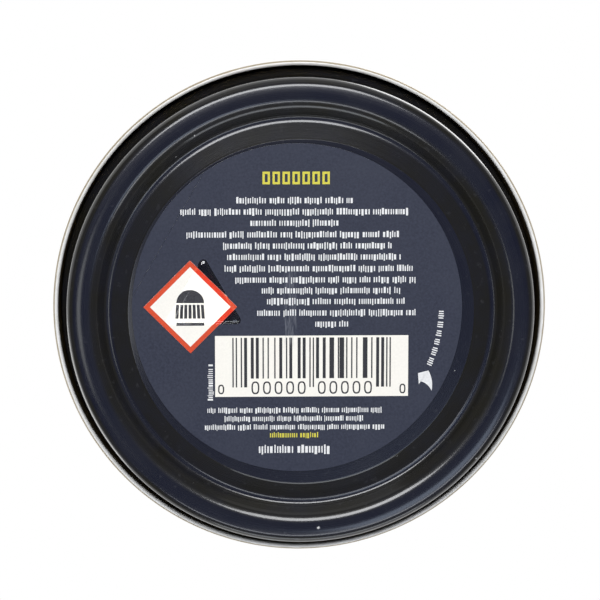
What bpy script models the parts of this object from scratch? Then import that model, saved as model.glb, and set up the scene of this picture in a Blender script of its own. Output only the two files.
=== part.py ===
"""A round slip-lid shoe polish tin with a peel-back label on the underside of its pan.

The tin stands upright on its foot ring: +Z runs up its axis from the origin, which is the centre of
the foot plane. Every driving dimension is a named constant below, in metres.
"""

import math

import bmesh
import bpy
from mathutils import Matrix, Vector

MM = 0.001
TURNS = 56  # flats round every turned piece

# Plate, and the gap between pieces that meet
PLATE = 0.25 * MM
CLEARANCE = 0.3 * MM
PLY_GAP = 0.05 * MM

# Pan: the drawn tinplate base. Radii from its axis, heights from the foot plane.
PAN_RADIUS = 36.95 * MM
PAN_MOUTH_Z = 17.6 * MM
PAN_HEM = 0.4 * MM
SHOULDER_TOP_Z = 9.9 * MM
SHOULDER_LOW_Z = 8.7 * MM
LOWER_WALL_RADIUS = 35.6 * MM
FOOT_CORNER_RADIUS = 35.5 * MM
FOOT_CORNER_ROUND = 1.1 * MM
FOOT_INNER_RADIUS = 31.5 * MM
FOOT_INNER_ROUND = 1.2 * MM
GROOVE_OUTER_RADIUS = 29.7 * MM
GROOVE_INNER_RADIUS = 29.1 * MM
GROOVE_Z = 2.1 * MM
PANEL_RADIUS = 26.35 * MM
PANEL_Z = 1.05 * MM
PRESS_ROUND = 0.35 * MM
SHOULDER_ROUND = 0.6 * MM

# Lid: slips over the pan's upper wall and ends in a rolled edge.
LID_RADIUS = 37.5 * MM
LID_RIM_RADIUS = 38.0 * MM
LID_RIM_Z = 6.6 * MM
LID_ROLL = 0.375 * MM
LID_TOP_Z = 21.0 * MM
LID_CORNER_ROUND = 1.0 * MM
STACKING_BEAD_INNER_RADIUS = 36.3 * MM
STACKING_FLOOR_RADIUS = 35.8 * MM
STACKING_FLOOR_Z = 20.4 * MM
LID_PANEL_EDGE_RADIUS = 27.4 * MM
LID_PANEL_RADIUS = 26.4 * MM
LID_PANEL_Z = 20.75 * MM

# Polish: fills the pan to about 50 ml and climbs a little at the wall.
POLISH_TOP_Z = 14.5 * MM
POLISH_CREEP = 0.5 * MM
POLISH_CREEP_WIDTH = 2.2 * MM
POLISH_SINK = 0.25 * MM

# Label: a glued ply, with a leaf that peels from it along a fold near one edge.
LABEL_CENTRE = Vector((-0.61 * MM, -0.66 * MM, 0.0))
LABEL_RADIUS = 25.0 * MM
PLY = 0.12 * MM
LEAF = 0.13 * MM
FOLD_OFFSET = 22.5 * MM
FOLD_ANGLE = math.radians(210)

# Stickers on the leaf, placed from the label's centre
DIAMOND_SIDE = 10.0 * MM
DIAMOND_THICKNESS = 0.09 * MM
DIAMOND_CORNER = 0.3 * MM
DIAMOND_OFFSET = Vector((-16.2 * MM, -0.35 * MM, 0.0))
TOUCH_MARK_CORNER_RADIUS = 6.9 * MM
TOUCH_MARK_HEIGHT = 0.3 * MM
TOUCH_MARK_DRAFT = 0.35 * MM
TOUCH_MARK_ROUND = 0.7 * MM
TOUCH_MARK_OFFSET = Vector((-14.2 * MM, -1.15 * MM, 0.0))

PLY_TOP_Z = PANEL_Z - PLY_GAP
PLY_LOW_Z = PLY_TOP_Z - PLY
LEAF_TOP_Z = PLY_LOW_Z - PLY_GAP
LEAF_LOW_Z = LEAF_TOP_Z - LEAF
DIAMOND_TOP_Z = LEAF_LOW_Z - PLY_GAP
DIAMOND_LOW_Z = DIAMOND_TOP_Z - DIAMOND_THICKNESS
TOUCH_MARK_TOP_Z = DIAMOND_LOW_Z - PLY_GAP


def clear_scene():
    for old in list(bpy.data.objects):
        bpy.data.objects.remove(old)


def make_collection(name):
    collection = bpy.data.collections.new(name)
    bpy.context.scene.collection.children.link(collection)
    return collection


def make_material(name, colour, roughness, metallic):
    material = bpy.data.materials.new(name)
    material.use_nodes = True
    shader = material.node_tree.nodes["Principled BSDF"]
    shader.inputs["Base Color"].default_value = (*colour, 1.0)
    shader.inputs["Roughness"].default_value = roughness
    shader.inputs["Metallic"].default_value = metallic
    return material


def add_object(name, mesh, collection, material=None):
    piece = bpy.data.objects.new(name, mesh)
    collection.objects.link(piece)
    if material:
        mesh.materials.append(material)
    return piece


def attach(child, parent):
    """Parents the child and leaves it where it stands."""
    bpy.context.view_layer.update()
    child.parent = parent
    child.matrix_parent_inverse = parent.matrix_world.inverted()


# Profiles: lists of (radius, height) points


def arc(centre, radius, start, end, steps):
    """Points from one angle to the other, both ends included."""
    angles = [start + (end - start) * i / steps for i in range(steps + 1)]
    return [centre + radius * Vector((math.cos(a), math.sin(a))) for a in angles]


def rounded_corner(before, corner, after, radius, steps):
    """The arc of this radius that touches both edges of a corner."""
    towards_before = (before - corner).normalized()
    towards_after = (after - corner).normalized()
    half = towards_before.angle(towards_after) / 2
    centre = corner + (towards_before + towards_after).normalized() * (radius / math.sin(half))
    first = corner + towards_before * (radius / math.tan(half)) - centre
    last = corner + towards_after * (radius / math.tan(half)) - centre
    start = math.atan2(first.y, first.x)
    turn = math.remainder(math.atan2(last.y, last.x) - start, 2 * math.pi)
    return arc(centre, radius, start, start + turn, steps)


def rounded_path(corners):
    """corners: (radius, height, rounding, steps). The two ends are kept as they are."""
    points = [Vector(corner[:2]) for corner in corners]
    path = [points[0]]
    for i in range(1, len(points) - 1):
        rounding, steps = corners[i][2:]
        path += rounded_corner(points[i - 1], points[i], points[i + 1], rounding, steps)
    return path + [points[-1]]


def offset_path(path, distance):
    """The path moved to its right by the distance, with mitred corners."""
    edges = [(after - before).normalized() for before, after in zip(path, path[1:])]
    rights = [Vector((edge.y, -edge.x)) for edge in edges]
    moved = []
    for i, point in enumerate(path):
        last = rights[max(i - 1, 0)]
        mitre = (last + rights[min(i, len(rights) - 1)]).normalized()
        moved.append(point + mitre * (distance / mitre.dot(last)))
    return moved


def turn_profile(name, profile, collection, material):
    """Turns a profile that starts and ends on the axis and runs down its outer side."""
    mesh = bpy.data.meshes.new(name)
    points = [(max(point.x, 0.0), 0.0, point.y) for point in profile]
    mesh.from_pydata(points, [(i, i + 1) for i in range(len(points) - 1)], [])
    piece = add_object(name, mesh, collection, material)
    screw = piece.modifiers.new("turn", "SCREW")
    screw.axis = "Z"
    screw.angle = 2 * math.pi
    screw.steps = TURNS
    screw.render_steps = TURNS
    screw.use_merge_vertices = True
    screw.merge_threshold = 0.00001
    screw.use_smooth_shade = True
    return piece


# Pan


def pan_outer_path():
    """The pan's outside, from the hem at its mouth down to the middle of its panel."""
    return rounded_path([
        (PAN_RADIUS, PAN_MOUTH_Z - PAN_HEM, 0, 0),
        (PAN_RADIUS, SHOULDER_TOP_Z, SHOULDER_ROUND, 2),
        (LOWER_WALL_RADIUS, SHOULDER_LOW_Z, SHOULDER_ROUND, 2),
        (FOOT_CORNER_RADIUS, 0.0, FOOT_CORNER_ROUND, 4),
        (FOOT_INNER_RADIUS, 0.0, FOOT_INNER_ROUND, 3),
        (GROOVE_OUTER_RADIUS, GROOVE_Z, PRESS_ROUND, 1),
        (GROOVE_INNER_RADIUS, GROOVE_Z, PRESS_ROUND, 1),
        (PANEL_RADIUS, PANEL_Z, PRESS_ROUND, 1),
        (0.0, PANEL_Z, 0, 0),
    ])


def pan_hem(inner_start):
    """The rolled mouth, from the inside of the wall over the top to the outside."""
    centre = Vector((PAN_RADIUS - PAN_HEM, PAN_MOUTH_Z - PAN_HEM))
    reach = inner_start.x - centre.x
    lowest = -math.acos(reach / PAN_HEM)
    return arc(centre, PAN_HEM, lowest + 2 * math.pi, 0.0, 8)[:-1]


def make_pan(collection):
    outer = pan_outer_path()
    inner = offset_path(outer, PLATE)
    profile = list(reversed(inner[1:])) + pan_hem(inner[0]) + outer
    material = make_material("lacquered_pan", (0.018, 0.020, 0.036), 0.28, 0.0)
    return turn_profile("base_pan", profile, collection, material)


# Lid


def lid_outer_path():
    """The lid's outside, from the middle of its top to the start of its rolled edge."""
    roll_start_z = LID_RIM_Z + LID_ROLL + math.sqrt(
        LID_ROLL**2 - (LID_RIM_RADIUS - LID_ROLL - LID_RADIUS) ** 2
    )
    return rounded_path([
        (0.0, LID_PANEL_Z, 0, 0),
        (LID_PANEL_RADIUS, LID_PANEL_Z, PRESS_ROUND, 1),
        (LID_PANEL_EDGE_RADIUS, STACKING_FLOOR_Z, PRESS_ROUND, 1),
        (STACKING_FLOOR_RADIUS, STACKING_FLOOR_Z, PRESS_ROUND, 1),
        (STACKING_BEAD_INNER_RADIUS, LID_TOP_Z, PRESS_ROUND, 1),
        (LID_RADIUS, LID_TOP_Z, LID_CORNER_ROUND, 3),
        (LID_RADIUS, roll_start_z, 0, 0),
    ])


def lid_roll(outer_end):
    """The rolled edge, from the skirt's outside round the bottom to its inside."""
    centre = Vector((LID_RIM_RADIUS - LID_ROLL, LID_RIM_Z + LID_ROLL))
    start = math.atan2(outer_end.y - centre.y, outer_end.x - centre.x)
    return arc(centre, LID_ROLL, start, -math.pi, 9)[1:]


def make_lid(collection):
    outer = lid_outer_path()
    inner = offset_path(outer, PLATE)
    profile = outer + lid_roll(outer[-1]) + list(reversed(inner[:-1]))
    material = make_material("lacquered_lid", (0.018, 0.020, 0.036), 0.28, 0.0)
    return turn_profile("lid_shell", profile, collection, material)


# Polish


def make_polish(collection):
    """The cake follows the inside of the pan, and its top dips from the creep at the wall."""
    side = [p for p in offset_path(pan_outer_path(), PLATE + CLEARANCE) if p.y < POLISH_TOP_Z]
    edge = side[0].x
    top = [
        Vector((0.0, POLISH_TOP_Z - POLISH_SINK)),
        Vector((edge * 0.6, POLISH_TOP_Z - POLISH_SINK * 0.5)),
        Vector((edge - POLISH_CREEP_WIDTH, POLISH_TOP_Z)),
        Vector((edge - POLISH_CREEP_WIDTH * 0.3, POLISH_TOP_Z + POLISH_CREEP * 0.4)),
        Vector((edge, POLISH_TOP_Z + POLISH_CREEP)),
    ]
    material = make_material("neutral_wax", (0.78, 0.70, 0.52), 0.45, 0.0)
    return turn_profile("polish_cake", top + side, collection, material)


# Label


def disc_mesh(name, radius, low, high):
    """A disc between two heights, from the cylinder primitive."""
    shape = bmesh.new()
    bmesh.ops.create_cone(
        shape, cap_ends=True, segments=TURNS, radius1=radius, radius2=radius, depth=high - low
    )
    bmesh.ops.translate(shape, vec=(0, 0, (low + high) / 2), verts=shape.verts)
    mesh = bpy.data.meshes.new(name)
    shape.to_mesh(mesh)
    shape.free()
    return mesh


def cut_box(name, piece, low, high, cutters):
    """Cuts a box, given by two corners in the piece's own frame, out of the piece."""
    size = high - low
    shape = bmesh.new()
    bmesh.ops.create_cube(shape, size=1.0)
    bmesh.ops.scale(shape, vec=size, verts=shape.verts)
    bmesh.ops.translate(shape, vec=(low + high) / 2, verts=shape.verts)
    mesh = bpy.data.meshes.new(name)
    shape.to_mesh(mesh)
    shape.free()
    cutter = add_object(name, mesh, cutters)
    cutter.matrix_world = piece.matrix_basis.copy()
    cutter.hide_render = True
    cutter.display_type = "WIRE"
    cut = piece.modifiers.new(name, "BOOLEAN")
    cut.operation = "DIFFERENCE"
    cut.solver = "EXACT"
    cut.object = cutter


def fold_point(height):
    """The middle of the leaf's fold, at this height."""
    along = Vector((math.cos(FOLD_ANGLE), math.sin(FOLD_ANGLE), 0.0))
    return LABEL_CENTRE + along * FOLD_OFFSET + Vector((0, 0, height))


def place_at_fold(piece):
    """Puts the piece's origin on the fold, with its own X pointing from the label's centre to it."""
    piece.location = fold_point(LEAF_LOW_Z)
    piece.rotation_euler = (0, 0, FOLD_ANGLE)


def label_disc(name, low, high, collection, material):
    """A disc of the label's size, placed at the fold."""
    mesh = disc_mesh(name, LABEL_RADIUS, low - LEAF_LOW_Z, high - LEAF_LOW_Z)
    mesh.transform(Matrix.Translation((-FOLD_OFFSET, 0, 0)))
    piece = add_object(name, mesh, collection, material)
    place_at_fold(piece)
    return piece


def make_base_ply(collection, cutters):
    """The glued ply: full thickness in the strip beyond the fold, thin under the leaf."""
    material = make_material("label_base", (0.60, 0.60, 0.58), 0.6, 0.0)
    ply = label_disc("label_base_ply", LEAF_LOW_Z, PLY_TOP_Z, collection, material)
    low = Vector((-2 * LABEL_RADIUS, -2 * LABEL_RADIUS, -PLY))
    high = Vector((PLY_GAP, 2 * LABEL_RADIUS, PLY_LOW_Z - LEAF_LOW_Z))
    cut_box("cut_leaf_room", ply, low, high, cutters)
    return ply


def make_leaf(collection, cutters):
    """The peel-back leaf: the disc as far as the fold."""
    material = make_material("label_leaf", (0.048, 0.055, 0.089), 0.55, 0.0)
    leaf = label_disc("label_peel_leaf", LEAF_LOW_Z, LEAF_TOP_Z, collection, material)
    low = Vector((0.0, -LABEL_RADIUS, -LEAF))
    high = Vector((LABEL_RADIUS, LABEL_RADIUS, 2 * LEAF))
    cut_box("cut_fold_strip", leaf, low, high, cutters)
    return leaf


# Stickers


def upright_edges(shape):
    return [e for e in shape.edges if abs(e.verts[0].co.z - e.verts[1].co.z) > PLY_GAP / 10]


def make_diamond(collection):
    """A square sticker standing on its corner."""
    shape = bmesh.new()
    bmesh.ops.create_cube(shape, size=1.0)
    bmesh.ops.scale(shape, vec=(DIAMOND_SIDE, DIAMOND_SIDE, DIAMOND_THICKNESS), verts=shape.verts)
    bmesh.ops.bevel(
        shape, geom=upright_edges(shape), offset=DIAMOND_CORNER, segments=3,
        profile=0.5, affect="EDGES",
    )
    mesh = bpy.data.meshes.new("hazard_diamond_sticker")
    shape.to_mesh(mesh)
    shape.free()
    material = make_material("diamond_sticker", (0.80, 0.80, 0.76), 0.4, 0.0)
    sticker = add_object("hazard_diamond_sticker", mesh, collection, material)
    middle = (DIAMOND_TOP_Z + DIAMOND_LOW_Z) / 2
    sticker.location = LABEL_CENTRE + DIAMOND_OFFSET + Vector((0, 0, middle))
    sticker.rotation_euler = (0, 0, math.pi / 4)
    return sticker


def make_touch_mark(collection):
    """A raised three-cornered mark with drafted sides, wider where it meets the label."""
    shape = bmesh.new()
    bmesh.ops.create_cone(
        shape, cap_ends=True, segments=3, depth=TOUCH_MARK_HEIGHT,
        radius1=TOUCH_MARK_CORNER_RADIUS - TOUCH_MARK_DRAFT, radius2=TOUCH_MARK_CORNER_RADIUS,
    )
    bmesh.ops.bevel(
        shape, geom=upright_edges(shape), offset=TOUCH_MARK_ROUND, segments=4,
        profile=0.5, affect="EDGES",
    )
    mesh = bpy.data.meshes.new("touch_warning_mark")
    shape.to_mesh(mesh)
    shape.free()
    material = make_material("clear_resin", (0.03, 0.03, 0.05), 0.05, 0.0)
    mark = add_object("touch_warning_mark", mesh, collection, material)
    middle = TOUCH_MARK_TOP_Z - TOUCH_MARK_HEIGHT / 2
    mark.location = LABEL_CENTRE + TOUCH_MARK_OFFSET + Vector((0, 0, middle))
    mark.rotation_euler = (0, 0, math.pi)
    return mark


def main():
    clear_scene()
    parts = make_collection("shoe_polish_tin")
    cutters = make_collection("cutters")
    axis = bpy.data.objects.new("tin_axis", None)
    parts.objects.link(axis)
    leaf = make_leaf(parts, cutters)
    on_axis = [make_pan(parts), make_lid(parts), make_polish(parts), make_base_ply(parts, cutters), leaf]
    for piece in on_axis:
        attach(piece, axis)
    for piece in (make_diamond(parts), make_touch_mark(parts)):
        attach(piece, leaf)


main()
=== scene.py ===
"""The looks of a slip-lid shoe polish tin, whose own camera looks up at its underside.

Lengths are metres in the row frame: the foot plane is z = 0 and +Z runs up the tin's axis. On the
underside "right" is +X and "down" is +Y, so a label drawn with y growing downwards reads upright.
"""

import math
import random

import bmesh
import bpy
from mathutils import Matrix, Vector


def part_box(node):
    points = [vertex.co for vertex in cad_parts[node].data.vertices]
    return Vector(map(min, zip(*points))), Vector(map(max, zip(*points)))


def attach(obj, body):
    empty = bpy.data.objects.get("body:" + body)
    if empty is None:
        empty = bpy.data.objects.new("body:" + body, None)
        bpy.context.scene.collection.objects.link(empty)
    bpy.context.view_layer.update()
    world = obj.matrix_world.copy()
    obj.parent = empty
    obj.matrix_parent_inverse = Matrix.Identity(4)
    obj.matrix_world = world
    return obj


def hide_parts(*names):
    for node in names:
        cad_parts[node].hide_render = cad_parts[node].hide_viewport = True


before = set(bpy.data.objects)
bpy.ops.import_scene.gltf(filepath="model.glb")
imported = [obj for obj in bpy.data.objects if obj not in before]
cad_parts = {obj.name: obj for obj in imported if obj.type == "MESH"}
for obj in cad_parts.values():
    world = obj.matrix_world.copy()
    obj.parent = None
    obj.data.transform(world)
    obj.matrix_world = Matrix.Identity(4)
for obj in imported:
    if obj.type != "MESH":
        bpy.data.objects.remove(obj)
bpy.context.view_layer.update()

MM = 0.001
STEPS = 240  # flats round every turned piece

pan_low, pan_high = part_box("base_pan")
lid_low, lid_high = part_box("lid_shell")
leaf_low, leaf_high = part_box("label_peel_leaf")
_, ply_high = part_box("label_base_ply")
diamond_low, diamond_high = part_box("hazard_diamond_sticker")
mark_low, mark_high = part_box("touch_warning_mark")

# Pan, lid and polish sizes that their boxes don't give: radii from the axis and heights from the foot
PLATE = 0.25 * MM
HEM = 0.4 * MM  # radius of the pan's curled mouth
SHOULDER_TOP_Z = 9.9 * MM
SHOULDER_LOW_Z = 8.7 * MM
SHOULDER_ROUND = 0.6 * MM
LOWER_WALL = 35.6 * MM
FOOT_OUTER = 35.5 * MM
FOOT_CROWN = 33.5 * MM
FOOT_INNER = 31.5 * MM
FOOT_CROWN_Z = -0.03 * MM  # as a sharp corner, which its rounding lifts to about the foot plane
FOOT_EDGE_Z = 0.14 * MM  # where the crown of the foot meets the lines of its two sides
GROOVE_OUTER = 29.7 * MM
GROOVE_INNER = 28.95 * MM
GROOVE_Z = 2.1 * MM
PANEL_RADIUS = 26.35 * MM
PANEL_Z = 1.05 * MM
PANEL_STEP_Z = 0.125 * MM  # height of the steep step round the panel
PANEL_STEP = 0.10 * MM  # half its width
SKIRT_RADIUS = 37.5 * MM
RIM_RADIUS = 38.0 * MM
ROLL = 0.375 * MM  # radius of the lid's rolled edge
LID_PANEL_RADIUS = 26.4 * MM
LID_PANEL_EDGE = 27.4 * MM
LID_PANEL_Z = 20.75 * MM
STACKING_FLOOR = 35.8 * MM
STACKING_BEAD = 36.3 * MM
STACKING_Z = 20.4 * MM
PRESS_ROUND = 0.35 * MM
POLISH_LEVEL = 14.5 * MM
POLISH_GAP = 0.3 * MM
LONGEST_STRAIGHT = 2.5 * MM  # a longer straight of a profile is divided

# Label sizes
LABEL_RADIUS = 25.0 * MM
LABEL_CENTRE = Vector((-0.61 * MM, -0.66 * MM, 0.0))
FOLD_OFFSET = 22.5 * MM
FOLD_ANGLE = math.radians(210)
PLY = 0.12 * MM
ply_face = ply_high.z - PLY  # the glued ply's lower face, which carries the leaf
INK = 0.012 * MM  # about how thick a printed piece is
INK_GAP = 0.002 * MM  # between print and what it is on
PAPER_EDGE = 0.02 * MM  # bevel of a cut edge
DIAMOND_SIDE = 10.0
DIAMOND_BORDER = 1.0  # width of the border along the diagonals


# Profiles and turned pieces


def arc(centre, radius, start, end, steps):
    angles = [start + (end - start) * i / steps for i in range(steps + 1)]
    return [centre + radius * Vector((math.cos(a), math.sin(a))) for a in angles]


def rounded_corner(before, corner, after, radius, steps):
    towards_before = (before - corner).normalized()
    towards_after = (after - corner).normalized()
    half = towards_before.angle(towards_after) / 2
    centre = corner + (towards_before + towards_after).normalized() * (radius / math.sin(half))
    first = corner + towards_before * (radius / math.tan(half)) - centre
    last = corner + towards_after * (radius / math.tan(half)) - centre
    start = math.atan2(first.y, first.x)
    turn = math.remainder(math.atan2(last.y, last.x) - start, 2 * math.pi)
    return arc(centre, radius, start, start + turn, steps)


def rounded_path(corners):
    """A path on corners of (radius, height, rounding, steps of the rounding), lengths in metres."""
    points = [Vector(corner[:2]) for corner in corners]
    path = [points[0]]
    for i in range(1, len(points) - 1):
        rounding, steps = corners[i][2:]
        path += rounded_corner(points[i - 1], points[i], points[i + 1], rounding, steps)
    return path + [points[-1]]


def offset_path(path, distance):
    """The path moved to its right, with mitred corners."""
    edges = [(after - before).normalized() for before, after in zip(path, path[1:])]
    rights = [Vector((edge.y, -edge.x)) for edge in edges]
    moved = []
    for i, point in enumerate(path):
        last = rights[max(i - 1, 0)]
        mitre = (last + rights[min(i, len(rights) - 1)]).normalized()
        moved.append(point + mitre * (distance / mitre.dot(last)))
    return moved


def finer(path, longest, edge=0.12 * MM):
    """The path with its long straights divided, and short steps at their ends to hold them flat."""
    fine = [path[0]]
    for before, after in zip(path, path[1:]):
        length = (after - before).length
        shares = [1.0]
        if length > 4 * edge:
            parts = max(1, math.ceil(length / longest))
            inner = [edge / length + (1 - 2 * edge / length) * i / parts for i in range(parts + 1)]
            shares = inner + [1.0]
        fine += [before.lerp(after, share) for share in shares]
    return fine


def new_piece(name, mesh, material, body):
    piece = bpy.data.objects.new(name, mesh)
    bpy.context.scene.collection.objects.link(piece)
    for each in material if isinstance(material, list) else [material]:
        mesh.materials.append(each)
    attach(piece, body)
    return piece


def mesh_of(name, shape):
    mesh = bpy.data.meshes.new(name)
    shape.to_mesh(mesh)
    shape.free()
    return mesh


def turned(name, stretches, shift, steps=STEPS):
    """A mesh turned from a profile that starts and ends on the axis and runs down its outer side.
    The profile comes as stretches, each with a material of its own, in the order of the materials.
    shift(x, y, z) gives the small move of a point that keeps the metal from being perfectly true."""
    profile = [point for stretch in stretches for point in stretch]
    finish_of = [index for index, stretch in enumerate(stretches) for _ in stretch]
    around = [(math.cos(a), math.sin(a)) for a in (2 * math.pi * i / steps for i in range(steps))]
    shape = bmesh.new()
    rings = []
    for radius, height in profile:
        if radius < 1e-7:
            rings.append([shape.verts.new((0, 0, height))])
        else:
            rings.append([shape.verts.new((radius * c, radius * s, height)) for c, s in around])
    for upper, lower, finish in zip(rings, rings[1:], finish_of):
        for i in range(steps):
            j = (i + 1) % steps
            side = [upper[i % len(upper)], lower[i % len(lower)]]
            other = [lower[j % len(lower)], upper[j % len(upper)]]
            shape.faces.new(list(dict.fromkeys(side + other))).material_index = finish
    for vert in shape.verts:
        vert.co += Vector(shift(*vert.co))
    mesh = mesh_of(name, shape)
    mesh.shade_smooth()
    return mesh


def wave(x, y, amount):
    """A few slow waves, as in pressed plate."""
    angle = math.atan2(y, x)
    reach = math.hypot(x, y) / FOOT_OUTER
    lift = math.sin(3 * angle + 0.7) + 0.6 * math.sin(5 * angle + 2.1) + 0.4 * math.sin(11 * angle + 4.0)
    return (0.0, 0.0, amount * reach * lift)


# Flat pieces: outlines on the underside, as prisms between two heights


def prism(shape, outline, low, high):
    """Adds a closed prism on a counter-clockwise or clockwise outline to a bmesh."""
    area = sum(a[0] * b[1] - b[0] * a[1] for a, b in zip(outline, outline[1:] + outline[:1]))
    points = outline if area > 0 else outline[::-1]
    bottom = [shape.verts.new((x, y, low)) for x, y in points]
    top = [shape.verts.new((x, y, high)) for x, y in points]
    shape.faces.new(bottom[::-1])
    shape.faces.new(top)
    for i in range(len(points)):
        j = (i + 1) % len(points)
        shape.faces.new([bottom[i], bottom[j], top[j], top[i]])


def slab(name, outlines, low, high):
    """A mesh of closed prisms, one on each outline."""
    shape = bmesh.new()
    for outline in outlines:
        prism(shape, outline, low, high)
    return mesh_of(name, shape)


def circle(radius, centre=(0.0, 0.0), steps=STEPS, start=0.0, end=2 * math.pi):
    whole = end - start > 2 * math.pi - 1e-6
    count = steps if whole else steps + 1
    turn = [start + (end - start) * i / steps for i in range(count)]
    return [(centre[0] + radius * math.cos(a), centre[1] + radius * math.sin(a)) for a in turn]


def rectangle(left, top, right, bottom):
    return [(left, top), (right, top), (right, bottom), (left, bottom)]


def rounded_polygon(corners, radius, steps=6):
    points = [Vector(corner) for corner in corners]
    outline = []
    for i, corner in enumerate(points):
        outline += rounded_corner(points[i - 1], corner, points[(i + 1) % len(points)], radius, steps)
    return [tuple(p) for p in outline]


def on_label(outline):
    """An outline given in millimetres from the label's centre, in the row frame."""
    return [(LABEL_CENTRE.x + x * MM, LABEL_CENTRE.y + y * MM) for x, y in outline]


# Materials


class Nodes:
    """Short names for the nodes that the materials below use."""

    def __init__(self, name):
        self.material = bpy.data.materials.new(name)
        self.material.use_nodes = True
        self.tree = self.material.node_tree
        self.shader = self.tree.nodes["Principled BSDF"]
        self.place = self.tree.nodes.new("ShaderNodeTexCoord").outputs["Object"]

    def link(self, value, socket):
        if isinstance(value, bpy.types.NodeSocket):
            self.tree.links.new(value, socket)
        else:
            socket.default_value = value

    def math(self, operation, *values, clamp=False):
        node = self.tree.nodes.new("ShaderNodeMath")
        node.operation = operation
        node.use_clamp = clamp
        for value, socket in zip(values, node.inputs):
            self.link(value, socket)
        return node.outputs[0]

    def scaled(self, scale):
        node = self.tree.nodes.new("ShaderNodeMapping")
        self.link(self.place, node.inputs["Vector"])
        node.inputs["Scale"].default_value = scale
        return node.outputs[0]

    def noise(self, scale, detail=3.0, rough=0.55, place=None):
        """Noise with about `scale` features to the metre."""
        node = self.tree.nodes.new("ShaderNodeTexNoise")
        self.link(place or self.place, node.inputs["Vector"])
        node.inputs["Scale"].default_value = scale
        node.inputs["Detail"].default_value = detail
        node.inputs["Roughness"].default_value = rough
        return node.outputs["Fac"]

    def specks(self, scale, size):
        """1 in small ragged spots of many sizes, 0 elsewhere."""
        bent = self.tree.nodes.new("ShaderNodeVectorMath")
        bent.operation = "ADD"
        wobble = self.math("MULTIPLY", self.noise(scale * 6), 0.25 / scale)
        self.link(self.place, bent.inputs[0])
        self.link(self.join(wobble, wobble, wobble), bent.inputs[1])
        node = self.tree.nodes.new("ShaderNodeTexVoronoi")
        self.link(bent.outputs[0], node.inputs["Vector"])
        node.inputs["Scale"].default_value = scale
        chance = self.split(node.outputs["Color"])[0]
        reach = self.math("MULTIPLY", self.math("POWER", chance, 8.0), size)
        return self.ramp(self.math("SUBTRACT", node.outputs["Distance"], reach), 0.02, -0.02)

    def ramp(self, value, zero_at, one_at):
        """0 where value is zero_at, 1 where it is one_at, clamped."""
        node = self.tree.nodes.new("ShaderNodeMapRange")
        self.link(value, node.inputs["Value"])
        node.inputs["From Min"].default_value = zero_at
        node.inputs["From Max"].default_value = one_at
        return node.outputs["Result"]

    def mix(self, factor, first, second):
        node = self.tree.nodes.new("ShaderNodeMix")
        node.data_type = "RGBA"
        self.link(factor, node.inputs["Factor"])
        for value, socket in ((first, node.inputs["A"]), (second, node.inputs["B"])):
            self.link((*value, 1.0) if isinstance(value, tuple) else value, socket)
        return node.outputs["Result"]

    def blend(self, factor, first, second):
        """A number between two numbers."""
        node = self.tree.nodes.new("ShaderNodeMapRange")
        self.link(factor, node.inputs["Value"])
        node.inputs["To Min"].default_value = first
        node.inputs["To Max"].default_value = second
        return node.outputs["Result"]

    def split(self, vector):
        node = self.tree.nodes.new("ShaderNodeSeparateXYZ")
        self.link(vector, node.inputs[0])
        return node.outputs

    def polar(self):
        """(radius, turn, height) of the point about the tin's axis."""
        x, y, z = self.split(self.place)
        squares = [self.math("MULTIPLY", part, part) for part in (x, y)]
        return self.math("SQRT", self.math("ADD", *squares)), self.math("ARCTAN2", y, x), z

    def join(self, x, y, z):
        node = self.tree.nodes.new("ShaderNodeCombineXYZ")
        for value, socket in zip((x, y, z), node.inputs):
            self.link(value, socket)
        return node.outputs[0]

    def bump(self, height, depth):
        """Bump of `depth` metres for a height of 1, on top of any bump there is."""
        node = self.tree.nodes.new("ShaderNodeBump")
        self.link(height, node.inputs["Height"])
        node.inputs["Distance"].default_value = depth
        node.inputs["Strength"].default_value = 1.0
        links = self.shader.inputs["Normal"].links
        if links:
            self.tree.links.new(links[0].from_socket, node.inputs["Normal"])
        self.tree.links.new(node.outputs["Normal"], self.shader.inputs["Normal"])

    def set(self, **values):
        names = {"color": "Base Color", "rough": "Roughness", "metal": "Metallic", "ior": "IOR",
                 "clear": "Transmission Weight", "coat": "Coat Weight", "coat_rough": "Coat Roughness",
                 "scatter": "Subsurface Weight", "scatter_scale": "Subsurface Scale",
                 "specular": "Specular IOR Level"}
        for key, value in values.items():
            full = (*value, 1.0) if isinstance(value, tuple) else value
            self.link(full, self.shader.inputs[names[key]])
        return self.material


NAVY = (0.0048, 0.0060, 0.0160)
# Painted reflection: the olive that sloping lacquer mirrors, laid into its colour
SLOPE_REFLECTION_OLIVE = (0.0120, 0.0112, 0.0085)
NAVY_MOTTLE = (0.012, 0.013, 0.021)
HANDLING_FILM = (0.10, 0.10, 0.11)
DUST = (0.62, 0.62, 0.60)
BARE_TIN = (0.83, 0.82, 0.79)
BRIGHT_TIN = (0.95, 0.94, 0.91)
DULL_TIN = (0.80, 0.78, 0.72)
OUTERMOST_TAN = (0.42, 0.35, 0.24)
GOLD_VARNISH = (0.62, 0.46, 0.24)
PALE_VARNISH = (0.70, 0.55, 0.31)
SLATE_DARK = (0.016, 0.020, 0.038)
SLATE_LIGHT = (0.037, 0.042, 0.068)
SLATE_CLOUD = (0.038, 0.043, 0.065)
SLATE_RUBBED = (0.16, 0.17, 0.20)
INK_RUBBED = (0.45, 0.45, 0.44)
LEAF_PAPER = (0.62, 0.62, 0.59)
PLY_PAPER = (0.60, 0.60, 0.57)
WARM_WHITE = (0.95, 0.912, 0.825)
WHITE_INK = (0.85, 0.85, 0.84)
YELLOW_INK = (0.70, 0.63, 0.06)
BLACK_INK = (0.020, 0.020, 0.026)
GREY_INK = (0.10, 0.105, 0.13)
RED_DARK = (0.63, 0.064, 0.020)
RED_LIGHT = (0.70, 0.080, 0.028)
RED_WET = (0.62, 0.030, 0.001)
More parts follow.
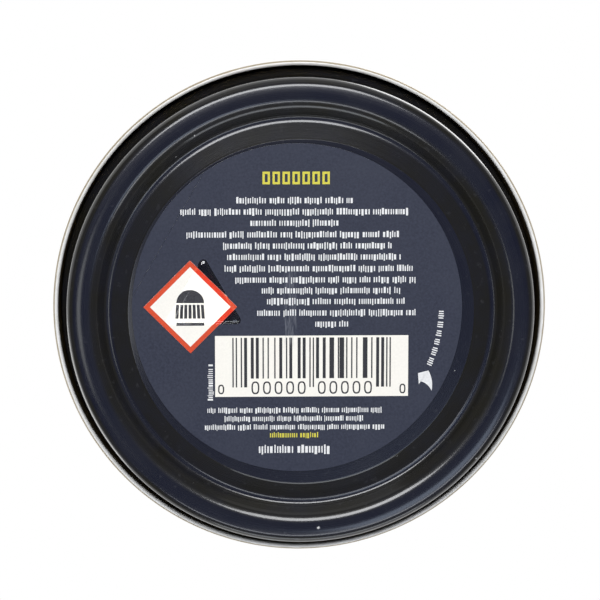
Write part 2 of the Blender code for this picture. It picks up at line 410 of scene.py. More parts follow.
# Painted shade and dark reflection under the clear resin
RESIN_SHADE_DARK = (0.002, 0.002, 0.004)
RESIN_SHADE_LIGHT = (0.008, 0.009, 0.014)
CLEAR_RESIN = (0.95, 0.95, 0.95)
WAX_DEEP = (0.72, 0.65, 0.48)
WAX_BLOOM = (0.80, 0.75, 0.62)
FLOOR = (0.80, 0.80, 0.79, 1.0)

# A soft sheen under a glossier clear coat
LACQUER_GLOSS = {"specular": 0.20, "coat": 0.64, "coat_rough": 0.12}


def slope_of(n):
    """0 on level plate, 1 on plate that slopes by more than about 20 degrees."""
    node = n.tree.nodes.new("ShaderNodeTexCoord")
    level = n.math("ABSOLUTE", n.split(node.outputs["Normal"])[2])
    return n.ramp(level, 0.999, 0.93)


def concentric_scratches(n, fineness):
    radius, turn, height = n.polar()
    place = n.join(n.math("MULTIPLY", radius, fineness), n.math("MULTIPLY", turn, 1.2), height)
    return n.noise(1.0, detail=4.0, rough=0.7, place=place)


def lacquer(name):
    """Navy-black lacquer on drawn tinplate, with a painted olive reflection where the plate slopes;
    dusty, finely scratched.
    """
    n = Nodes(name)
    mottle = n.noise(160.0)
    # Painted reflection: sloping plate is tinted olive in place of the warm reflection it shows; level
    # plate stays navy.
    base = n.mix(slope_of(n), NAVY, SLOPE_REFLECTION_OLIVE)
    base = n.mix(n.ramp(mottle, 0.35, 0.9), base, NAVY_MOTTLE)
    film = n.ramp(n.noise(900.0, detail=6.0), 0.62, 0.80)
    base = n.mix(n.math("MULTIPLY", film, 0.25), base, HANDLING_FILM)
    dust = n.specks(330.0, 0.075)
    base = n.mix(dust, base, DUST)
    lines = concentric_scratches(n, 9000.0)
    rough = n.blend(n.ramp(lines, 0.35, 0.75), 0.24, 0.34)
    rough = n.math("ADD", rough, n.math("MULTIPLY", dust, 0.4), clamp=True)
    n.bump(n.noise(420.0, detail=2.0), 0.012 * MM)
    n.bump(lines, 0.0015 * MM)
    return n, base, rough


def pan_lacquer():
    n, base, rough = lacquer("pan_lacquer")
    return n.set(color=base, rough=rough, **LACQUER_GLOSS)


def lid_lacquer():
    """The same lacquer, rubbed thin along the lid's rolled edge."""
    n, base, rough = lacquer("lid_lacquer")
    _, _, z = n.split(n.place)
    ragged = n.math("MULTIPLY", n.math("SUBTRACT", n.noise(600.0), 0.5), 0.5 * MM)
    bare = n.ramp(n.math("ADD", z, ragged), lid_low.z + 0.85 * MM, lid_low.z + 0.75 * MM)
    return n.set(color=n.mix(bare, base, BARE_TIN), rough=rough, metal=bare, **LACQUER_GLOSS)


def gold_varnish():
    """Clear gold varnish over bright plate, as tins have inside."""
    n = Nodes("gold_varnish")
    lines = concentric_scratches(n, 6000.0)
    cloud = n.noise(90.0)
    n.bump(lines, 0.002 * MM)
    base = n.mix(n.ramp(cloud, 0.35, 0.7), GOLD_VARNISH, PALE_VARNISH)
    return n.set(color=base, rough=n.blend(lines, 0.22, 0.38), metal=1.0)


def rolled_tin():
    """The bare rolled edge: bright tin, dull in patches, with a tan line outermost."""
    n = Nodes("rolled_tin")
    radius, _, _ = n.polar()
    ragged = n.math("MULTIPLY", n.math("SUBTRACT", n.noise(500.0), 0.5), 0.12 * MM)
    tan = n.ramp(n.math("ADD", radius, ragged), lid_high.x - 0.30 * MM, lid_high.x - 0.18 * MM)
    tin = n.mix(n.ramp(n.noise(300.0, detail=5.0), 0.35, 0.75), BRIGHT_TIN, DULL_TIN)
    return n.set(color=n.mix(tan, tin, OUTERMOST_TAN), rough=0.40, metal=0.08)


def leaf_print():
    """Matte slate film: faint grain, with a rubbed streak down its middle."""
    n = Nodes("leaf_print")
    grain = n.noise(2600.0, detail=4.0, rough=0.7)
    cloud = n.noise(120.0)
    base = n.mix(n.ramp(grain, 0.3, 0.7), SLATE_DARK, SLATE_LIGHT)
    base = n.mix(n.math("MULTIPLY", n.ramp(cloud, 0.4, 0.7), 0.35), base, SLATE_CLOUD)
    base = n.mix(n.math("MULTIPLY", streak(n), 0.75), base, SLATE_RUBBED)
    n.bump(grain, 0.004 * MM)
    n.bump(cloud, 0.02 * MM)
    return n.set(color=base, rough=n.blend(grain, 0.50, 0.66), specular=0.25)


def streak(n):
    """1 in the rubbed band that runs down the label left of its middle."""
    x, y, _ = n.split(n.place)
    across = n.math("ABSOLUTE", n.math("SUBTRACT", x, LABEL_CENTRE.x - 1.1 * MM))
    along = n.math("ABSOLUTE", n.math("SUBTRACT", y, LABEL_CENTRE.y - 0.4 * MM))
    box = n.math("MULTIPLY", n.ramp(across, 1.1 * MM, 0.7 * MM), n.ramp(along, 6.6 * MM, 5.4 * MM))
    threads = n.noise(1.0, detail=3.0, rough=0.7, place=n.scaled((2600.0, 260.0, 1.0)))
    return n.math("MULTIPLY", box, n.ramp(threads, 0.44, 0.66))


def paper(name, colour):
    n = Nodes(name)
    grain = n.noise(1800.0, detail=5.0, rough=0.7)
    darker = tuple(c * 0.86 for c in colour)
    n.bump(grain, 0.006 * MM)
    return n.set(color=n.mix(n.ramp(grain, 0.3, 0.7), darker, colour), rough=0.7)


def ink(name, colour, rough=0.5, worn=0.12, rub=False):
    """Printing ink, slightly uneven by how worn it is. With rub, it is greyer in the label's streak."""
    n = Nodes(name)
    grain = n.noise(3200.0, detail=3.0)
    darker = tuple(c * (1 - worn) for c in colour)
    base = n.mix(n.ramp(grain, 0.35, 0.65), darker, colour)
    if rub:
        base = n.mix(n.math("MULTIPLY", streak(n), 0.45), base, INK_RUBBED)
    n.bump(grain, 0.002 * MM)
    return n.set(color=base, rough=rough, specular=0.35)


def red_ink():
    """Orange-red ink, deeper where the clear resin wets it."""
    n = Nodes("red_ink")
    x, y, _ = n.split(n.place)
    middle = (mark_low.x + mark_high.x) / 2
    spread = (mark_high.x - middle) / (mark_high.y - mark_low.y)
    reach = n.math("MULTIPLY", n.math("SUBTRACT", y, mark_low.y), spread)
    over = n.math("SUBTRACT", n.math("ABSOLUTE", n.math("SUBTRACT", x, middle)), reach)
    above = n.ramp(y, mark_high.y, mark_high.y - 0.1 * MM)
    wet = n.math("MULTIPLY", n.ramp(over, 0.05 * MM, -0.1 * MM), above)
    base = n.mix(n.ramp(n.noise(3200.0), 0.35, 0.65), RED_DARK, RED_LIGHT)
    base = n.mix(wet, base, RED_WET)
    return n.set(color=base, rough=0.4, specular=0.22)


def painted_shade_under_resin():
    """The dark print under the resin, painted near-black as shade and dark reflection. The resin wets
    it, so it has no sheen of its own.
    """
    n = Nodes("painted_shade_under_resin")
    grain = n.noise(900.0)
    n.bump(grain, 0.002 * MM)
    return n.set(color=n.mix(grain, RESIN_SHADE_DARK, RESIN_SHADE_LIGHT), rough=0.5, specular=0.0)


def clear_resin():
    """Clear raised resin over dark print."""
    n = Nodes("clear_resin")
    n.bump(n.noise(300.0, detail=1.0), 0.004 * MM)
    return n.set(color=CLEAR_RESIN, rough=0.04, ior=1.5, clear=1.0)


def wax():
    n = Nodes("neutral_wax")
    radius, turn, _ = n.polar()
    swirl = n.noise(1.0, detail=4.0, place=n.join(n.math("MULTIPLY", radius, 420.0), turn, 0.0))
    bloom = n.noise(90.0, detail=5.0)
    base = n.mix(n.ramp(bloom, 0.35, 0.7), WAX_DEEP, WAX_BLOOM)
    n.bump(swirl, 0.10 * MM)
    n.bump(n.noise(1500.0, detail=4.0), 0.012 * MM)
    return n.set(color=base, rough=n.blend(swirl, 0.30, 0.52), scatter=0.25, scatter_scale=0.002)


# The tin


def pan_corners():
    """The outside of the pan from its mouth to the middle of its panel. The foot is slightly crowned."""
    return [
        (pan_high.x, pan_high.z - HEM, 0, 0),
        (pan_high.x, SHOULDER_TOP_Z, SHOULDER_ROUND, 8),
        (LOWER_WALL, SHOULDER_LOW_Z, SHOULDER_ROUND, 8),
        (FOOT_OUTER, FOOT_EDGE_Z, 1.4 * MM, 18),
        (FOOT_CROWN, FOOT_CROWN_Z, 8 * MM, 10),
        (FOOT_INNER, FOOT_EDGE_Z, 2.4 * MM, 20),
        (GROOVE_OUTER, GROOVE_Z, 0.9 * MM, 12),
        (GROOVE_INNER, GROOVE_Z, 1.6 * MM, 10),
        (PANEL_RADIUS + PANEL_STEP, PANEL_Z + PANEL_STEP_Z, 0.12 * MM, 4),
        (PANEL_RADIUS - PANEL_STEP, PANEL_Z, 0.06 * MM, 4),
        (0.0, PANEL_Z, 0, 0),
    ]


def make_pan():
    outer = finer(rounded_path(pan_corners()), LONGEST_STRAIGHT)
    inner = offset_path(outer, PLATE)
    centre = Vector((pan_high.x - HEM, pan_high.z - HEM))
    lowest = -math.acos((inner[0].x - centre.x) / HEM)
    mouth = arc(centre, HEM, lowest + 2 * math.pi, 0.0, 20)[:-1]
    mesh = turned("pan", [inner[::-1][:-1] + mouth, outer], lambda x, y, z: wave(x, y, 0.008 * MM))
    pan = new_piece("drawn_pan", mesh, [gold_varnish(), pan_lacquer()], "pan")
    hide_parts("base_pan")


def lid_corners(roll_start):
    """The outside of the lid from the middle of its top to where its rolled edge starts."""
    return [
        (0.0, LID_PANEL_Z, 0, 0),
        (LID_PANEL_RADIUS, LID_PANEL_Z, PRESS_ROUND, 6),
        (LID_PANEL_EDGE, STACKING_Z, PRESS_ROUND, 6),
        (STACKING_FLOOR, STACKING_Z, PRESS_ROUND, 6),
        (STACKING_BEAD, lid_high.z, PRESS_ROUND, 6),
        (SKIRT_RADIUS, lid_high.z, 1.0 * MM, 12),
        (SKIRT_RADIUS, roll_start, 0, 0),
    ]


def make_lid():
    centre = Vector((RIM_RADIUS - ROLL, lid_low.z + ROLL))
    roll_start = centre.y + math.sqrt(ROLL**2 - (centre.x - SKIRT_RADIUS) ** 2)
    outer = finer(rounded_path(lid_corners(roll_start)), LONGEST_STRAIGHT)
    inner = offset_path(outer, PLATE)
    start = math.atan2(roll_start - centre.y, SKIRT_RADIUS - centre.x)
    roll = arc(centre, ROLL, start, -math.pi, 20)[1:]
    stretches = [outer, roll, inner[::-1][1:]]
    mesh = turned("lid", stretches, lambda x, y, z: wave(x, y, 0.006 * MM))
    finishes = [lid_lacquer(), rolled_tin(), bpy.data.materials["gold_varnish"]]
    lid = new_piece("slip_lid", mesh, finishes, "lid")
    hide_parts("lid_shell")


# (share of the way to the wall, height over the level in mm) of the polish's top
POLISH_TOP = [(0.0, -0.25), (0.3, -0.24), (0.6, -0.12), (0.8, -0.05), (0.92, 0.02),
              (0.97, 0.16), (1.0, 0.5)]


def make_polish():
    wall = offset_path(rounded_path(pan_corners()), PLATE + POLISH_GAP)
    side = [p for p in wall if p.y < POLISH_LEVEL]
    edge = side[0].x
    top = [Vector((edge * share, POLISH_LEVEL + lift * MM)) for share, lift in POLISH_TOP]
    mesh = turned("polish", [finer(top, 0.8 * MM) + side], polish_ripple)
    cake = new_piece("wax_cake", mesh, wax(), "pan")
    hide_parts("polish_cake")


def polish_ripple(x, y, z):
    """Low rings left on the top by the wax as it set."""
    if z <= 14 * MM:
        return (0, 0, 0)
    reach = math.hypot(x, y)
    fade = max(0.0, 1 - (reach / (34 * MM)) ** 6)
    return (0, 0, fade * 0.02 * MM * math.sin(reach * 1100 + 1.5 * math.sin(2 * math.atan2(y, x))))


# The label


def toward_fold(outline):
    """Turns an outline about the label's centre so that its +X points to the fold."""
    c, s = math.cos(FOLD_ANGLE), math.sin(FOLD_ANGLE)
    return [(LABEL_CENTRE.x + c * x - s * y, LABEL_CENTRE.y + s * x + c * y) for x, y in outline]


def bevelled(mesh, width):
    shape = bmesh.new()
    shape.from_mesh(mesh)
    sharp = [e for e in shape.edges if e.calc_face_angle(0) > math.radians(50)]
    bmesh.ops.bevel(shape, geom=sharp, offset=width, segments=2, profile=0.5, affect="EDGES")
    shape.to_mesh(mesh)
    shape.free()
    return mesh


def paint_leaf(mesh):
    for face in mesh.polygons:
        face.material_index = leaf_finish(face)


def leaf_finish(face):
    """0, print, on the outer face and along the fold; 1, paper, on the back and the cut edge."""
    towards = face.normal.x * math.cos(FOLD_ANGLE) + face.normal.y * math.sin(FOLD_ANGLE)
    at_fold = abs(towards) > 0.99 and (face.center - LABEL_CENTRE).length < 24.0 * MM
    return 0 if face.normal.z < -0.3 or at_fold else 1


def make_leaf():
    fold = math.acos(FOLD_OFFSET / LABEL_RADIUS)
    outline = toward_fold(circle(LABEL_RADIUS, start=fold, end=2 * math.pi - fold))
    mesh = bevelled(slab("leaf", [outline], leaf_low.z, leaf_high.z), PAPER_EDGE)
    paint_leaf(mesh)
    materials = [leaf_print(), paper("leaf_back", LEAF_PAPER)]
    leaf = new_piece("peel_leaf", mesh, materials, "leaf")
    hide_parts("label_peel_leaf")


def make_ply():
    """The ply glued to the panel, and beyond the fold the strip of leaf that stays on it."""
    mesh = slab("ply", [toward_fold(circle(LABEL_RADIUS))], ply_face, ply_high.z)
    ply = new_piece("glued_ply", bevelled(mesh, PAPER_EDGE), paper("ply_face", PLY_PAPER), "pan")
    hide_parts("label_base_ply")
    fold = math.acos((FOLD_OFFSET + 0.02 * MM) / LABEL_RADIUS)
    outline = toward_fold(circle(LABEL_RADIUS, start=-fold, end=fold, steps=60))
    mesh = bevelled(slab("strip", [outline], leaf_low.z, ply_face - 0.001 * MM), PAPER_EDGE)
    paint_leaf(mesh)
    materials = [bpy.data.materials["leaf_print"], bpy.data.materials["leaf_back"]]
    strip = new_piece("fold_strip", mesh, materials, "pan")


def make_ply_print():
    """Greeked lines on the glued ply, seen when the leaf is peeled."""
    rng = random.Random(21)
    blocks = []
    for i in range(17):
        y = -17.5 + 2.1 * i
        reach = 0.85 * math.sqrt(22.0**2 - y**2)
        blocks += greeked(rng, y, -reach, reach * rng.uniform(0.7, 1.0), 0.9, 0.19)
    outlines = [on_label(block) for block in blocks]
    mesh = slab("ply_print", outlines, ply_face - INK, ply_face - 0.001 * MM)
    piece = new_piece("ply_print", mesh, ink("grey_ink", GREY_INK), "pan")


# Print on the leaf. Lengths in millimetres from the label's centre, right and down.

# (y, left, right) of each line of small print
BODY_LINES = [
    (-16.3, -9.2, 8.5), (-14.6, -17.6, 16.8), (-12.9, -7.1, 6.3), (-11.15, -16.7, 15.8),
    (-9.45, -11.2, 14.5), (-7.75, -10.6, 15.8), (-6.0, -11.0, 18.0), (-4.3, -9.4, 18.0),
    (-2.65, -5.4, 15.8), (-1.0, -4.6, 16.3), (0.75, -6.1, 18.0), (2.45, 2.7, 7.7),
]
FOOT_LINES = [(15.65, -13.7, 12.9), (16.95, -11.1, 10.1), (18.25, -14.1, 13.3)]


def greeked(rng, y, left, right, height, stroke):
    """A line of print as rows of small upright blocks, in groups as long as words. No letterforms."""
    blocks = []
    x = left
    while x < right - stroke:
        for _ in range(rng.randint(5, 16)):
            if x > right - stroke:
                break
            width = stroke * rng.choice((0.8, 1.0, 1.0, 1.7))
            rise = height * rng.choice((0.5, 0.5, 0.5, 0.68))
            drop = height * rng.choice((0.32, 0.32, 0.32, 0.5))
            blocks.append(rectangle(x, y - rise, x + width, y + drop))
            x += width + stroke * rng.choice((0.75, 0.9, 1.1))
        x += stroke * 1.9
    return blocks


def printed(name, outlines, material, lift=1):
    """Closed flat shapes just below the leaf. A higher lift prints over a lower one."""
    high = leaf_low.z - INK * (lift - 1) - INK_GAP
    mesh = slab(name, [on_label(o) for o in outlines], high - INK, high)
    piece = new_piece(name, mesh, material, "leaf")


def make_small_print():
    rng = random.Random(11)
    blocks = []
    for y, left, right in BODY_LINES:
        blocks += greeked(rng, y, left, right, 0.95, 0.19)
    for y, left, right in FOOT_LINES:
        blocks += greeked(rng, y, left, right, 0.80, 0.15)
    blocks += greeked(rng, 21.75, -5.9, 5.1, 1.25, 0.24)
    printed("small_print", blocks, ink("white_ink", WHITE_INK))


TITLE_LEFT, TITLE_TOP, TITLE_PITCH = -5.25, -20.75, 1.5


def make_yellow_print():
    rng = random.Random(5)
    title = []
    for i in range(7):
        title += box_sides(TITLE_LEFT + TITLE_PITCH * i, TITLE_TOP, 1.12, 1.9, 0.34)
    foot = greeked(rng, 19.5, -4.2, 3.4, 0.80, 0.16)
    printed("yellow_print", title + foot, ink("yellow_ink", YELLOW_INK))


def box_sides(x, y, width, height, stroke):
    """The four strokes of an upright box, in place of a letter of the title."""
    left, right = x + stroke, x + width - stroke
    low = y + height
    return [rectangle(x, y, left, low), rectangle(right, y, x + width, low),
            rectangle(left, y, right, y + stroke), rectangle(left, low - stroke, right, low)]


CODE_LEFT, CODE_TOP, CODE_RIGHT, CODE_BOTTOM = -12.5, 4.1, 16.85, 13.45
MODULE = 0.254  # one module of the bar code, at 77 % of its full size
INK_SHRINK = 0.05  # how much narrower a bar prints than its modules
FIRST_BAR = 2.62  # from the panel's left edge
BAR_TOP = 0.3  # from the panel's upper edge, like the next two
BAR_FOOT = 6.55
GUARD_FOOT = 7.9
RING_STARTS, RING_PITCH, RING_LEVEL = (6.1, 16.2), 1.76, 7.98
END_RINGS, END_RING_LEVEL = (0.9, 28.5), 8.2


def bar_widths(rng):
    """(left, width, guard) of each bar, in modules from the first: guards before, between and after
    two groups of six signs."""
    bars = [(0, 1, True), (2, 1, True)]
    for sign in range(12):
        start = 3 + 7 * sign + (5 if sign > 5 else 0)
        first = rng.choice((1, 1, 2, 2, 3))
        second = rng.choice((1, 2, 2, 1)) if first < 3 else 1
        gap = rng.choice((1, 2)) if first + second < 5 else 1
        lead = rng.choice((0, 1)) + (1 if sign < 6 else 0)
        outer = sign in (0, 11)
        bars.append((start + lead, first, outer))
        bars.append((start + lead + first + gap, second, outer))
    return bars + [(46, 1, True), (48, 1, True), (92, 1, True), (94, 1, True)]


def make_bar_code():
    panel = [rectangle(CODE_LEFT, CODE_TOP, CODE_RIGHT, CODE_BOTTOM)]
    printed("code_panel", panel, ink("panel_white", WARM_WHITE, 0.45, 0.04, True))
    bars = []
    for start, width, guard in bar_widths(random.Random(4)):
        x = CODE_LEFT + FIRST_BAR + start * MODULE
        foot = CODE_TOP + (GUARD_FOOT if guard else BAR_FOOT)
        bars.append(rectangle(x, CODE_TOP + BAR_TOP, x + width * MODULE - INK_SHRINK, foot))
    printed("code_bars", bars, ink("black_ink", BLACK_INK, 0.45, 0.1, True), lift=2)
    make_code_rings()


def make_code_rings():
    """A row of plain rings where a code would have its figures."""
    shape = bmesh.new()
    high = leaf_low.z - 1.5 * INK
    for first in RING_STARTS:
        for i in range(5):
            centre = on_label([(CODE_LEFT + first + RING_PITCH * i, CODE_TOP + RING_LEVEL)])[0]
            add_ring(shape, centre, 0.60 * MM, 0.98 * MM, 0.22 * MM, high - INK, high)
    for x in END_RINGS:
        centre = on_label([(CODE_LEFT + x, CODE_TOP + END_RING_LEVEL)])[0]
        add_ring(shape, centre, 0.46 * MM, 0.74 * MM, 0.20 * MM, high - INK, high)
    mesh = mesh_of("code_rings", shape)
    rings = new_piece("code_rings", mesh, bpy.data.materials["black_ink"], "leaf")


def squarish(value):
    """A cosine or sine pushed outward, so that a ring is squarer than an oval."""
    return math.copysign(abs(value) ** 0.75, value)


def add_ring(shape, centre, half_width, half_height, stroke, low, high, steps=28):
    """A closed flat upright ring."""
    loops = []
    turn = [2 * math.pi * i / steps for i in range(steps)]
    around = [(squarish(math.cos(a)), squarish(math.sin(a))) for a in turn]
    for inset, z in ((0.0, low), (stroke, low), (stroke, high), (0.0, high)):
        wide, tall = half_width - inset, half_height - inset
        points = [(centre[0] + wide * x, centre[1] + tall * y) for x, y in around]
        loops.append([shape.verts.new((x, y, z)) for x, y in points])
    for a, b in zip(loops, loops[1:] + loops[:1]):
        for i in range(steps):
            j = (i + 1) % steps
            shape.faces.new([a[i], b[i], b[j], a[j]])


# The print along the label's edge: places on an arc, some left empty, angles in degrees
ARC_PLACES = 26
WORD_GAPS = (4, 9, 13, 17, 21)
ARC_REACH, ARC_START, ARC_STEP = 21.85, 23.3, 0.88


def make_peel_arrow():
    """A plain bent arrow that shows where to peel, with greeked words beside it."""
    printed("peel_arrow", bent_arrow(), bpy.data.materials["white_ink"])
    rng = random.Random(9)
    blocks = []
    for i in range(ARC_PLACES):
        if i not in WORD_GAPS:
            angle = math.radians(ARC_START - i * ARC_STEP)
            blocks.append(turned_block(ARC_REACH, angle, rng.choice((0.72, 0.72, 0.85)), 0.18))
    printed("arc_print", blocks, bpy.data.materials["white_ink"])
    line = greeked(rng, 0.0, -2.9, 2.9, 0.80, 0.16)
    upright = [[(-13.1 + y, 11.1 - x) for x, y in block] for block in line]
    printed("side_print", upright, bpy.data.materials["white_ink"])


def turned_block(reach, angle, height, width):
    c, s = math.cos(angle), math.sin(angle)
    corners = rectangle(reach - height / 2, -width / 2, reach + height / 2, width / 2)
    return [(c * x - s * y, s * x + c * y) for x, y in corners]


def bent_arrow():
    """A head that points up and to the left, and a shaft that bends down to a thin tail."""
    head = [(18.35, 9.95), (19.95, 9.55), (18.5, 11.65)]
    tail = (20.45, 12.65)
    outer = [bent(head[1], (20.75, 11.0), tail, i / 12) for i in range(13)]
    inner = [bent(tail, (19.9, 11.5), (18.75, 11.2), i / 12) for i in range(1, 13)]
    return [head, outer + inner]


def bent(start, pull, end, share):
    """A point on a curve from start to end that bends towards pull."""
    a, b, c = (1 - share) ** 2, 2 * share * (1 - share), share**2
    return tuple(a * p + b * q + c * r for p, q, r in zip(start, pull, end))


def diamond(centre, reach):
    """A square that stands on its point, with its points at reach from its centre."""
    x, y = centre
    return [(x + reach, y), (x, y + reach), (x - reach, y), (x, y - reach)]


def make_diamond():
    x = (diamond_low.x + diamond_high.x) / 2 - LABEL_CENTRE.x
    y = (diamond_low.y + diamond_high.y) / 2 - LABEL_CENTRE.y
    centre = (x / MM, y / MM)
    reach = DIAMOND_SIDE / 2 * math.sqrt(2)
    outline = on_label(rounded_polygon(diamond(centre, reach), 0.12))
    body = bevelled(slab("diamond", [outline], diamond_low.z, leaf_low.z - INK_GAP), 0.01 * MM)
    sticker = new_piece("diamond_sticker", body, ink("sticker_white", WARM_WHITE, 0.4, 0.04), "leaf")
    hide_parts("hazard_diamond_sticker")
    outer, inner = diamond(centre, reach - 0.01), diamond(centre, reach - DIAMOND_BORDER)
    sides = []
    for i in range(4):
        j = (i + 1) % 4
        sides.append(on_label([outer[i], outer[j], inner[j], inner[i]]))
    high = diamond_low.z - 0.001 * MM
    border = new_piece("diamond_border", slab("border", sides, high - INK, high), red_ink(), "leaf")
    make_brush_mark(centre, high)


def make_brush_mark(centre, high):
    """A plain shoe brush over a bar, in place of the pictogram."""
    cx, cy = centre
    handle = circle(2.1, (cx, cy - 0.6), 24, math.pi, 2 * math.pi)
    handle = [(x, cy - 0.6 + (y - cy + 0.6) * 0.95) for x, y in handle]
    tufts = []
    top, foot = cy - 0.35, cy + 1.75
    for i in range(7):
        left = cx - 2.1 + 0.615 * i
        right = left + 0.44
        splayed = [(right + (i - 2.6) * 0.05, foot), (left + (i - 3.4) * 0.05, foot)]
        tufts.append([(left, top), (right, top)] + splayed)
    bar = rectangle(cx - 2.1, cy + 2.35, cx + 2.1, cy + 2.85)
    mesh = slab("brush_mark", [on_label(o) for o in [handle, bar] + tufts], high - INK, high)
    mark = new_piece("brush_mark", mesh, bpy.data.materials["black_ink"], "leaf")


def make_touch_mark():
    """Clear raised resin across the sticker and the label. The print below it looks wet, and on the
    label a near-black sheet under it is painted shade.
    """
    middle = (mark_low.x + mark_high.x) / 2
    rounding = 0.6 * MM
    side = rounding * (math.sqrt(3) - 1)
    base = mark_high.y
    corners = [(middle, mark_low.y - rounding), (mark_high.x + side, base), (mark_low.x - side, base)]
    outline = rounded_polygon(corners, rounding, 8)
    # Painted shade: a near-black sheet under the resin, in place of the shade and dark reflections
    # there.
    mesh = slab("painted_shade_under_resin", [outline], leaf_low.z - INK, leaf_low.z - INK_GAP)
    wet = new_piece("painted_shade_under_resin", mesh, painted_shade_under_resin(), "leaf")
    mark = new_piece("touch_mark", dome(corners, rounding), clear_resin(), "leaf")
    mark.visible_shadow = False
    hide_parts("touch_warning_mark")


def dome(corners, rounding):
    """A flat-based drop of resin on rounded corners, highest inside its rim."""
    middle = sum((Vector(corner) for corner in corners), Vector((0, 0))) / len(corners)
    low, high = diamond_low.z - 2 * INK, mark_low.z
    rim = 0.30  # how far in the curve of the rim reaches, as a share of the way to the middle
    shape = bmesh.new()
    rings = []
    for i in range(9):
        angle = math.pi / 2 * i / 8
        share = 1 - rim * (1 - math.cos(angle))
        inset = [middle + (Vector(corner) - middle) * share for corner in corners]
        points = rounded_polygon(inset, rounding * share, 10)
        rings.append([shape.verts.new((x, y, low + (high - low) * math.sin(angle))) for x, y in points])
    for outer, inner in zip(rings, rings[1:]):
        for i in range(len(outer)):
            j = (i + 1) % len(outer)
            shape.faces.new([outer[i], outer[j], inner[j], inner[i]])
    shape.faces.new(rings[-1])
    shape.faces.new(rings[0][::-1])
    bmesh.ops.recalc_face_normals(shape, faces=shape.faces)
    mesh = mesh_of("touch_mark", shape)
    for face in mesh.polygons:
        face.use_smooth = len(face.vertices) == 4
    return mesh


# Stage, light and camera


def make_floor():
    """A pale floor that is seen only from above and lets the light from below through."""
    bpy.ops.mesh.primitive_plane_add(size=4.0, location=(0, 0, pan_low.z - 0.02 * MM))
    floor = bpy.context.object
    floor.name = "floor"
    material = bpy.data.materials.new("floor")
    material.use_nodes = True
    tree = material.node_tree
    tree.nodes.remove(tree.nodes["Principled BSDF"])
    pale = tree.nodes.new("ShaderNodeBsdfDiffuse")
    pale.inputs["Color"].default_value = FLOOR
    clear = tree.nodes.new("ShaderNodeBsdfTransparent")
    side = tree.nodes.new("ShaderNodeNewGeometry")
    mix = tree.nodes.new("ShaderNodeMixShader")
    tree.links.new(side.outputs["Backfacing"], mix.inputs[0])
    tree.links.new(pale.outputs[0], mix.inputs[1])
    tree.links.new(clear.outputs[0], mix.inputs[2])
    tree.links.new(mix.outputs[0], tree.nodes["Material Output"].inputs["Surface"])
    floor.data.materials.append(material)
    floor.visible_shadow = False
    floor.visible_glossy = False
    floor.visible_diffuse = False


# (share of the way from straight down to straight up, colour) of the surroundings
SKY = [(0.0, (0.05, 0.055, 0.085)), (0.10, (0.12, 0.125, 0.15)), (0.40, (0.16, 0.155, 0.14)),
       (0.47, (0.26, 0.25, 0.23)), (0.488, (1.0, 1.0, 1.0))]


def make_world():
    """White above the horizon, dim and slightly blue straight below."""
    world = bpy.data.worlds.new("studio")
    bpy.context.scene.world = world
    world.use_nodes = True
    tree = world.node_tree
    up = tree.nodes.new("ShaderNodeSeparateXYZ")
    tree.links.new(tree.nodes.new("ShaderNodeTexCoord").outputs["Generated"], up.inputs[0])
    ramp = tree.nodes.new("ShaderNodeValToRGB")
    reach = tree.nodes.new("ShaderNodeMapRange")
    reach.inputs["From Min"].default_value = -1.0
    tree.links.new(up.outputs["Z"], reach.inputs["Value"])
    tree.links.new(reach.outputs["Result"], ramp.inputs["Fac"])
    stops = ramp.color_ramp.elements
    for i, (position, colour) in enumerate(SKY):
        stop = stops[i] if i < 2 else stops.new(position)
        stop.position, stop.color = position, (*colour, 1.0)
    tree.links.new(ramp.outputs["Color"], tree.nodes["Background"].inputs["Color"])


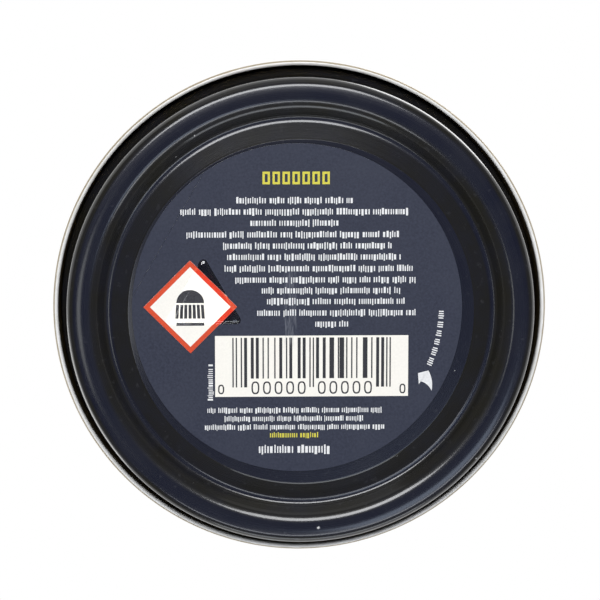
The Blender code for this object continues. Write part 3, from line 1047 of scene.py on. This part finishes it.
def softbox(name, turn, tilt, distance, size, radiance, colour=(1, 1, 1)):
    """A softbox that faces the tin. turn is its bearing from +X and tilt its angle from straight
    below, in degrees."""
    turn, tilt = math.radians(turn), math.radians(tilt)
    away = Vector((math.sin(tilt) * math.cos(turn), math.sin(tilt) * math.sin(turn), -math.cos(tilt)))
    light = bpy.data.lights.new(name, "AREA")
    light.shape = "RECTANGLE"
    light.size, light.size_y = size
    light.energy = math.pi * size[0] * size[1] * radiance
    light.color = colour
    lamp = bpy.data.objects.new(name, light)
    bpy.context.scene.collection.objects.link(lamp)
    lamp.location = away * distance
    lamp.rotation_euler = (-away).to_track_quat("-Z", "Y").to_euler()


def make_lights():
    """Softboxes below, which the steps of the pan mirror to the camera, and two above for the lid."""
    softbox("strip", -98, 23, 0.45, (0.25, 0.15), 13.8, (0.97, 0.98, 1.0))
    softbox("softbox_top", -92, 70, 0.36, (0.40, 0.14), 0.5)
    softbox("softbox_bottom", 84, 77, 0.45, (0.40, 0.12), 3.4, (0.88, 0.93, 1.0))
    softbox("low_bottom", 76, 31, 0.45, (0.36, 0.06), 6.0, (0.92, 0.95, 1.0))
    softbox("patch_right", 60, 21.5, 0.50, (0.12, 0.07), 4.0, (0.68, 0.80, 1.0))
    softbox("patch_left", 143, 12, 0.50, (0.06, 0.06), 3.6, (0.97, 1.0, 0.96))
    softbox("key", -50, 130, 0.80, (0.45, 0.45), 5.0)
    softbox("fill", 150, 120, 0.70, (0.40, 0.40), 2.0)


def make_camera():
    camera = bpy.data.objects.new("camera", bpy.data.cameras.new("camera"))
    bpy.context.scene.collection.objects.link(camera)
    bpy.context.scene.camera = camera
    camera.data.lens = 120.2
    camera.data.sensor_width = 36.0
    camera.data.clip_start = 0.01
    place = Vector((-10.5, -38.3, -300.0)) * MM
    aim = Vector((-0.25, -2.08, 0.0)) * MM
    ahead = (aim - place).normalized()
    right = ahead.cross(Vector((0, -1, 0))).normalized()
    up = right.cross(ahead)
    turn = Matrix((right, up, -ahead)).transposed()
    camera.matrix_world = Matrix.Translation(place) @ turn.to_4x4()


bpy.context.scene.view_settings.view_transform = "Standard"
make_camera()
make_world()
make_lights()
make_floor()
make_pan()
make_lid()
make_polish()
make_leaf()
make_ply()
make_ply_print()
make_small_print()
make_yellow_print()
make_bar_code()
make_peel_arrow()
make_diamond()
make_touch_mark()

bpy.context.view_layer.update()
